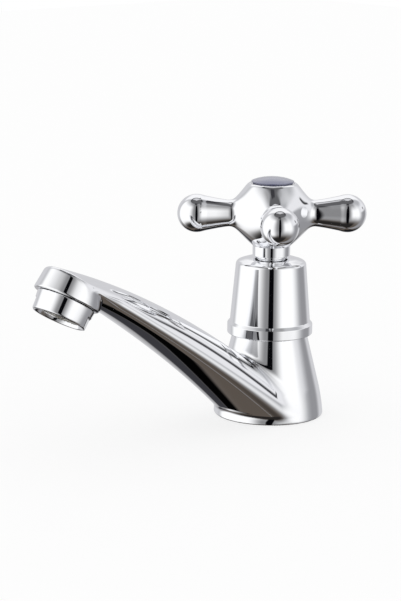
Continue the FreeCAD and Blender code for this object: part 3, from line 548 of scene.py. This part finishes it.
class Nodes:
    """Short calls for a material's or the world's node tree."""

    def __init__(self, tree):
        self.tree = tree

    def add(self, kind, **settings):
        node = self.tree.nodes.new(kind)
        for name, value in settings.items():
            setattr(node, name, value)
        return node

    def put(self, value, socket):
        if isinstance(value, bpy.types.NodeSocket):
            self.tree.links.new(value, socket)
        else:
            socket.default_value = value

    def math(self, operation, *values):
        node = self.add("ShaderNodeMath", operation=operation)
        for index, value in enumerate(values):
            self.put(value, node.inputs[index])
        return node.outputs[0]

    def smooth(self, value, low, high, start=0.0, end=1.0):
        node = self.add("ShaderNodeMapRange", interpolation_type="SMOOTHSTEP")
        for index, item in enumerate((value, low, high, start, end)):
            self.put(item, node.inputs[index])
        return node.outputs[0]

    def mix(self, share, first, second):
        node = self.add("ShaderNodeMix", data_type="RGBA")
        self.put(share, node.inputs[MIX_SHARE])
        self.put(first, node.inputs[MIX_FIRST])
        self.put(second, node.inputs[MIX_SECOND])
        return node.outputs[MIX_RESULT]

    def noise(self, scale, detail, stretch=EVEN):
        place = self.add("ShaderNodeTexCoord")
        mapping = self.add("ShaderNodeMapping")
        mapping.inputs["Scale"].default_value = stretch
        self.put(place.outputs["Object"], mapping.inputs["Vector"])
        node = self.add("ShaderNodeTexNoise")
        self.put(mapping.outputs[0], node.inputs["Vector"])
        node.inputs["Scale"].default_value = scale
        node.inputs["Detail"].default_value = detail
        return node.outputs["Fac"]


def new_material(name, colour, roughness, grain, relief, spread, metallic=0.0, stretch=EVEN, tint=0.06,
                 coat=0.0):
    """A principled surface whose colour, roughness and relief vary with fine noise.

    The grain is the number of specks in a metre, the relief their height in metres. The roughness
    varies by the spread either way, and the colour gets darker by up to the tint.
    """
    material = bpy.data.materials.new(name)
    material.use_nodes = True
    nodes = Nodes(material.node_tree)
    shader = material.node_tree.nodes["Principled BSDF"]
    shader.inputs["Metallic"].default_value = metallic
    shader.inputs["Coat Weight"].default_value = coat
    shader.inputs["Coat Roughness"].default_value = COAT_ROUGHNESS
    fine = nodes.noise(grain, FINE_DETAIL, stretch)
    broad = nodes.noise(grain / BROAD_SHARE, BROAD_DETAIL, stretch)
    darker = tuple(channel * (1.0 - tint) for channel in colour)
    nodes.put(nodes.mix(broad, (*darker, 1.0), (*colour, 1.0)), shader.inputs["Base Color"])
    smoothest = max(roughness - spread, 0.0)
    rough = nodes.smooth(fine, NOISE_LOW, NOISE_HIGH, smoothest, roughness + spread)
    nodes.put(rough, shader.inputs["Roughness"])
    bump = nodes.add("ShaderNodeBump")
    bump.inputs["Strength"].default_value = 1.0
    bump.inputs["Distance"].default_value = relief
    nodes.put(fine, bump.inputs["Height"])
    nodes.put(bump.outputs[0], shader.inputs["Normal"])
    return material


CHROME = (0.95, 0.955, 0.972)
chrome_cast = new_material(
    "chrome_on_casting", CHROME, 0.035, grain=70.0, relief=0.000012, spread=0.012, metallic=1.0, tint=0.01,
)
chrome_turned = new_material(
    "chrome_on_turning", CHROME, 0.03, grain=50.0, relief=0.000004, spread=0.01, metallic=1.0, tint=0.01,
)
finishes = {
    "chrome": chrome_turned,
    "brass": new_material(
        "machined_brass", (0.72, 0.50, 0.20), 0.28,
        grain=900.0, relief=0.00002, spread=0.08, metallic=1.0, stretch=LENGTHWISE,
    ),
    "steel": new_material(
        "zinc_steel", (0.60, 0.60, 0.62), 0.30, grain=700.0, relief=0.00001, spread=0.06, metallic=1.0,
    ),
    "black_rubber": new_material(
        "nitrile_rubber", (0.018, 0.018, 0.019), 0.62, grain=1800.0, relief=0.00002, spread=0.1,
    ),
    "red_fibre": new_material(
        "pressed_fibre", (0.30, 0.045, 0.03), 0.8, grain=2200.0, relief=0.00005, spread=0.1, tint=0.4,
    ),
    "white_nylon": new_material(
        "white_nylon", (0.72, 0.72, 0.68), 0.45, grain=500.0, relief=0.00001, spread=0.08,
    ),
    "grey_mesh": new_material(
        "strainer_plastic", (0.30, 0.28, 0.235), 0.42, grain=900.0, relief=0.00003, spread=0.1, tint=0.2,
    ),
    "blue_button": new_material(
        "blue_button", (0.150, 0.155, 0.245), 0.12,
        grain=260.0, relief=0.000003, spread=0.03, tint=0.10, coat=1.0,
    ),
}
slot_of = {part["node"]: part["material_slot"] for part in frame["record"]["subparts"]}
for name, node in frame["nodes"].items():
    node.data.materials.clear()
    node.data.materials.append(finishes[slot_of[name]])


# ---------------------------------------------------------------- pieces
def stand_for(piece, node, body):
    """The piece rides on the body and takes the node's place."""
    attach(piece, body)
    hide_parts(node)


# The casting's skin has smaller cells beyond the seam, on the spout's tip. The boxes hold the pieces
# with a little room, by their lowest and highest corners.
TIP_SEAM = -94.0
CASTING_BOX = ((-25.0, TIP_SEAM, -1.5), (25.0, 25.0, 72.5))
CASTING_CELL = 0.62
TIP_BOX = ((-15.5, TIP_SEAM - 34.1, 53.4), (15.5, TIP_SEAM, 80.0))
TIP_CELL = 0.31
HANDLE_BOX = ((-39.5, -39.5, 69.5), (39.5, 39.5, 98.0))
HANDLE_CELL = 0.5
SHELL_BOX = ((-12.0, -124.5, 49.5), (12.0, -95.0, 73.5))
SHELL_CELL = 0.36

# outlines of the turned pieces, as (radius, height, rounding)
SKIRT_OUTLINE = (
    (6.9, 66.7, 0.12), (7.7, 66.7, 0.18), (7.75, 71.0, 0.2), (6.9, 71.0, 0.1),
)
BELL_OUTLINE = (
    # the ring at the foot, and the tapered wall
    (13.6, SHROUD_SEAT, 0.3), (17.606, SHROUD_SEAT, 0.35), (17.606, 38.2, 0.45), (16.556, 39.5, 0.7),
    # the slightly domed top and its hole
    (14.406, 64.1, 1.8), (10.6, 65.35, 9.0), (6.7, 65.75, 0.3), (6.55, 64.9, 0.1), (5.3, 64.8, 0.2),
    # the inside
    (5.3, 62.7, 0.2), (12.8, 62.7, 0.6), (14.95, 36.0, 0.3), (13.6, 36.0, 0.2),
)
COLLAR_OUTLINE = (
    (5.1, 64.8, 0.1), (6.3, 64.8, 0.1),
    # a fine groove
    (6.3, 66.9, 0.08), (6.15, 67.05, 0.08), (6.15, 67.35, 0.08), (6.3, 67.5, 0.08),
    (6.3, 68.8, 0.25), (5.1, 68.8, 0.2),
)
BUTTON_OUTLINE = (
    # the plug, and the lip over the recess
    (0.0, 91.5, 0.0), (7.2, 91.5, 0.3), (7.2, 96.15, 0.1), (8.25, 96.15, 0.1),
    (8.25, 97.1, 0.08), (8.75, 97.15, 0.08), (8.75, 97.5, 0.2),
    # the dome
    (6.6, 98.35, 14.0), (3.3, 99.0, 20.0), (0.0, 99.2, 0.0),
)

casting = add_mesh(
    "casting_skin",
    *joined(
        skin_of(casting_field, *CASTING_BOX, CASTING_CELL, TIP_SEAM),
        skin_of(casting_field, *TIP_BOX, TIP_CELL, TIP_SEAM),
    ),
    chrome_cast,
)
stand_for(casting, "spout_body", "tap_body")

cross_handle = add_mesh(
    "cross_handle",
    *joined(skin_of(handle_field, *HANDLE_BOX, HANDLE_CELL), turned(SKIRT_OUTLINE)),
    chrome_cast,
)
stand_for(cross_handle, "handle", "handle_body")

bell = add_mesh("bell_shroud", *turned(BELL_OUTLINE), chrome_turned)
stand_for(bell, "shroud", "tap_body")

collar = add_mesh("neck_collar", *turned(COLLAR_OUTLINE), chrome_turned)
stand_for(collar, "shroud_collar", "tap_body")

shell = add_mesh("aerator_shell", *skin_of(shell_field, *SHELL_BOX, SHELL_CELL), chrome_turned)
stand_for(shell, "aerator_housing", "tap_body")

button = add_mesh("domed_button", *turned(BUTTON_OUTLINE, closed=False), finishes["blue_button"])
stand_for(button, "index_button", "handle_body")


# ---------------------------------------------------------------- floor, light and camera
# The studio's right and front are level directions. The front is the side the photograph is taken from.
STUDIO_RIGHT = (0.6871, 0.7266)
STUDIO_FRONT = (STUDIO_RIGHT[1], -STUDIO_RIGHT[0])

# Lit and dark panels round the tap, each painted over the ones before it. Sides are in degrees to the
# right of the front, as (start, full) and (full, end); the foot and the head are sines of the height
# above the horizon, in the same order; None stands for no edge. The last three numbers are the colour.
# The rear and the dark panels are the same on the left and on the right, and have only their start.
REAR_PANELS = {
    "pale wall": ((116, 140), None, (-0.56, -0.30), None, (0.64, 0.64, 0.66)),
    "bright wall": ((126, 142), None, (0.45, 0.60), (0.895, 0.905), (0.98, 0.98, 0.99)),
    "bright middle": ((160, 172), None, (0.20, 0.45), (0.895, 0.905), (0.98, 0.98, 0.99)),
    "dark ceiling edge": ((80, 100), None, (0.900, 0.905), (0.925, 0.945), (0.045, 0.045, 0.05)),
}
DARK_PANELS = {
    "black strip on the table": ((138, 152), None, (-0.84, -0.79), (-0.69, -0.665), (0.001, 0.001, 0.001)),
    "grey strip above it": ((138, 152), None, (-0.69, -0.665), (-0.53, -0.48), (0.042, 0.042, 0.048)),
    "dark strip nearer the tap": ((168, 174), None, (-0.96, -0.93), (-0.80, -0.78), (0.010, 0.010, 0.012)),
}
FRONT_PANELS = {
    "dim front": ((-74, -40), (44, 66), (-0.86, -0.10), (0.84, 0.92), (0.25, 0.25, 0.255)),
    "left softbox": ((-130, -112), (-47, -12), (-0.97, -0.50), (0.60, 0.93), (1.06, 1.06, 1.06)),
    "right softbox": ((8, 37), (66, 98), (-0.68, -0.08), (0.30, 0.95), (1.06, 1.06, 1.06)),
    "dim right wall": ((86, 108), (122, 142), None, (0.00, 0.20), (0.30, 0.30, 0.315)),
    "pale right wall": ((68, 92), (124, 156), (0.02, 0.18), (0.40, 0.70), (0.84, 0.84, 0.86)),
    "dark post on the right": ((109, 112), (114, 121), (0.16, 0.19), (0.29, 0.36), (0.05, 0.05, 0.055)),
    "dark strip behind": ((146, 152), (181, 182), (-0.96, -0.93), (-0.66, -0.62), (0.010, 0.010, 0.012)),
    "dark table's front": ((-135, -110), (44, 64), None, (-0.90, -0.62), (0.020, 0.018, 0.017)),
    "black gap": ((-8, -5), (7, 9), (-0.95, -0.74), (0.74, 0.93), (0.002, 0.002, 0.003)),
    "dark head of the gap": ((-24, -16), (8, 14), (0.80, 0.90), (0.93, 0.945), (0.045, 0.045, 0.05)),
}
WALL_LEVEL = (0.46, 0.465, 0.48)
TABLE_LEVEL = (0.105, 0.087, 0.073)
TABLE_HEIGHTS = (-0.25, -0.90)
ZENITH_LEVEL = (0.12, 0.12, 0.125)
ZENITH_HEIGHTS = (0.86, 0.925)
WHITE = (1.0, 1.0, 1.0, 1.0)


def studio_world():
    """White all round for the camera; softboxes, gaps and a table for what mirrors them."""
    world = bpy.data.worlds.new("studio")
    bpy.context.scene.world = world
    world.use_nodes = True
    nodes = Nodes(world.node_tree)
    world.node_tree.nodes.clear()
    direction = nodes.add("ShaderNodeTexCoord").outputs["Generated"]
    parts = nodes.add("ShaderNodeSeparateXYZ")
    nodes.put(direction, parts.inputs[0])
    x, y, z = parts.outputs

    def share_along(way):
        return nodes.math("ADD", nodes.math("MULTIPLY", x, way[0]), nodes.math("MULTIPLY", y, way[1]))

    across = share_along(STUDIO_RIGHT)
    facing = share_along(STUDIO_FRONT)
    azimuth = nodes.math("MULTIPLY", nodes.math("ARCTAN2", across, facing), 180.0 / math.pi)
    turned_away = nodes.math("ABSOLUTE", azimuth)

    def with_panels(studio, panels, angle):
        for name, (left, right, foot, head, level) in panels.items():
            share = None
            edges = ((angle, left, True), (angle, right, False), (z, foot, True), (z, head, False))
            for value, edge, rising in edges:
                if edge is None:
                    continue
                ends = (0.0, 1.0) if rising else (1.0, 0.0)
                step = nodes.smooth(value, *edge, *ends)
                share = step if share is None else nodes.math("MULTIPLY", share, step)
            studio = nodes.mix(share, studio, (*level, 1.0))
            studio.node.label = name
        return studio

    studio = nodes.mix(nodes.smooth(z, *ZENITH_HEIGHTS), (*WALL_LEVEL, 1.0), (*ZENITH_LEVEL, 1.0))
    studio = with_panels(studio, REAR_PANELS, turned_away)
    studio = nodes.mix(nodes.smooth(z, *TABLE_HEIGHTS), studio, (*TABLE_LEVEL, 1.0))
    studio = with_panels(studio, DARK_PANELS, turned_away)
    studio = with_panels(studio, FRONT_PANELS, azimuth)
    light_path = nodes.add("ShaderNodeLightPath")
    background = nodes.add("ShaderNodeBackground")
    nodes.put(nodes.mix(light_path.outputs["Is Glossy Ray"], WHITE, studio), background.inputs["Color"])
    output = nodes.add("ShaderNodeOutputWorld")
    nodes.put(background.outputs[0], output.inputs[0])


FLOOR_REACH = 1.6
FLOOR_HEIGHT = -0.0002
FLOOR_CORNERS = ((-1.0, -1.0), (1.0, -1.0), (1.0, 1.0), (-1.0, 1.0))
FLOOR_DARK = (0.93, 0.93, 0.93, 1.0)
FLOOR_PALE = (0.95, 0.95, 0.95, 1.0)
FLOOR_GRAIN = 60.0
FLOOR_ROUGHNESS = 0.9
FLOOR_GLOW = 0.75


def studio_floor():
    """A pale floor under the tap, which glows a little for the camera and keeps the shadow."""
    mesh = bpy.data.meshes.new("floor")
    corners = [(x * FLOOR_REACH, y * FLOOR_REACH, FLOOR_HEIGHT) for x, y in FLOOR_CORNERS]
    mesh.from_pydata(corners, [], [(0, 1, 2, 3)])
    floor = bpy.data.objects.new("floor", mesh)
    bpy.context.scene.collection.objects.link(floor)
    material = bpy.data.materials.new("pale_floor")
    material.use_nodes = True
    nodes = Nodes(material.node_tree)
    shader = material.node_tree.nodes["Principled BSDF"]
    shader.inputs["Roughness"].default_value = FLOOR_ROUGHNESS
    shader.inputs["Specular IOR Level"].default_value = 0.0
    shade = nodes.mix(nodes.noise(FLOOR_GRAIN, FINE_DETAIL), FLOOR_DARK, FLOOR_PALE)
    nodes.put(shade, shader.inputs["Base Color"])
    glow = nodes.add("ShaderNodeEmission")
    glow.inputs["Color"].default_value = WHITE
    mixed = nodes.add("ShaderNodeMixShader")
    light_path = nodes.add("ShaderNodeLightPath")
    nodes.put(nodes.math("MULTIPLY", light_path.outputs["Is Camera Ray"], FLOOR_GLOW), mixed.inputs[0])
    nodes.put(shader.outputs[0], mixed.inputs[1])
    nodes.put(glow.outputs[0], mixed.inputs[2])
    nodes.put(mixed.outputs[0], material.node_tree.nodes["Material Output"].inputs["Surface"])
    mesh.materials.append(material)
    floor.visible_glossy = False


CAMERA_PLACE = Vector((0.6146, -0.6209, 0.2396))
CAMERA_FORWARD = Vector((-0.7095, 0.6710, -0.2154))
CAMERA_ROLL = 0.01414
CAMERA_LENS = 129.56
SENSOR_WIDTH = 36.0
CLIP_START = 0.01


def photo_camera():
    """The camera that was fitted to the photograph: its place, direction, roll and lens."""
    forward = CAMERA_FORWARD.normalized()
    right = Vector((*STUDIO_RIGHT, 0.0)).normalized()
    up = right.cross(forward)
    side = right * math.cos(CAMERA_ROLL) + up * math.sin(CAMERA_ROLL)
    top = up * math.cos(CAMERA_ROLL) - right * math.sin(CAMERA_ROLL)
    data = bpy.data.cameras.new("photo_camera")
    data.lens = CAMERA_LENS
    data.sensor_width = SENSOR_WIDTH
    data.clip_start = CLIP_START
    camera = bpy.data.objects.new("photo_camera", data)
    bpy.context.scene.collection.objects.link(camera)
    turn = Matrix((side, top, -forward)).transposed().to_4x4()
    camera.matrix_world = Matrix.Translation(CAMERA_PLACE) @ turn
    bpy.context.scene.camera = camera


studio_world()
studio_floor()
photo_camera()
bpy.context.scene.view_settings.view_transform = "Standard"
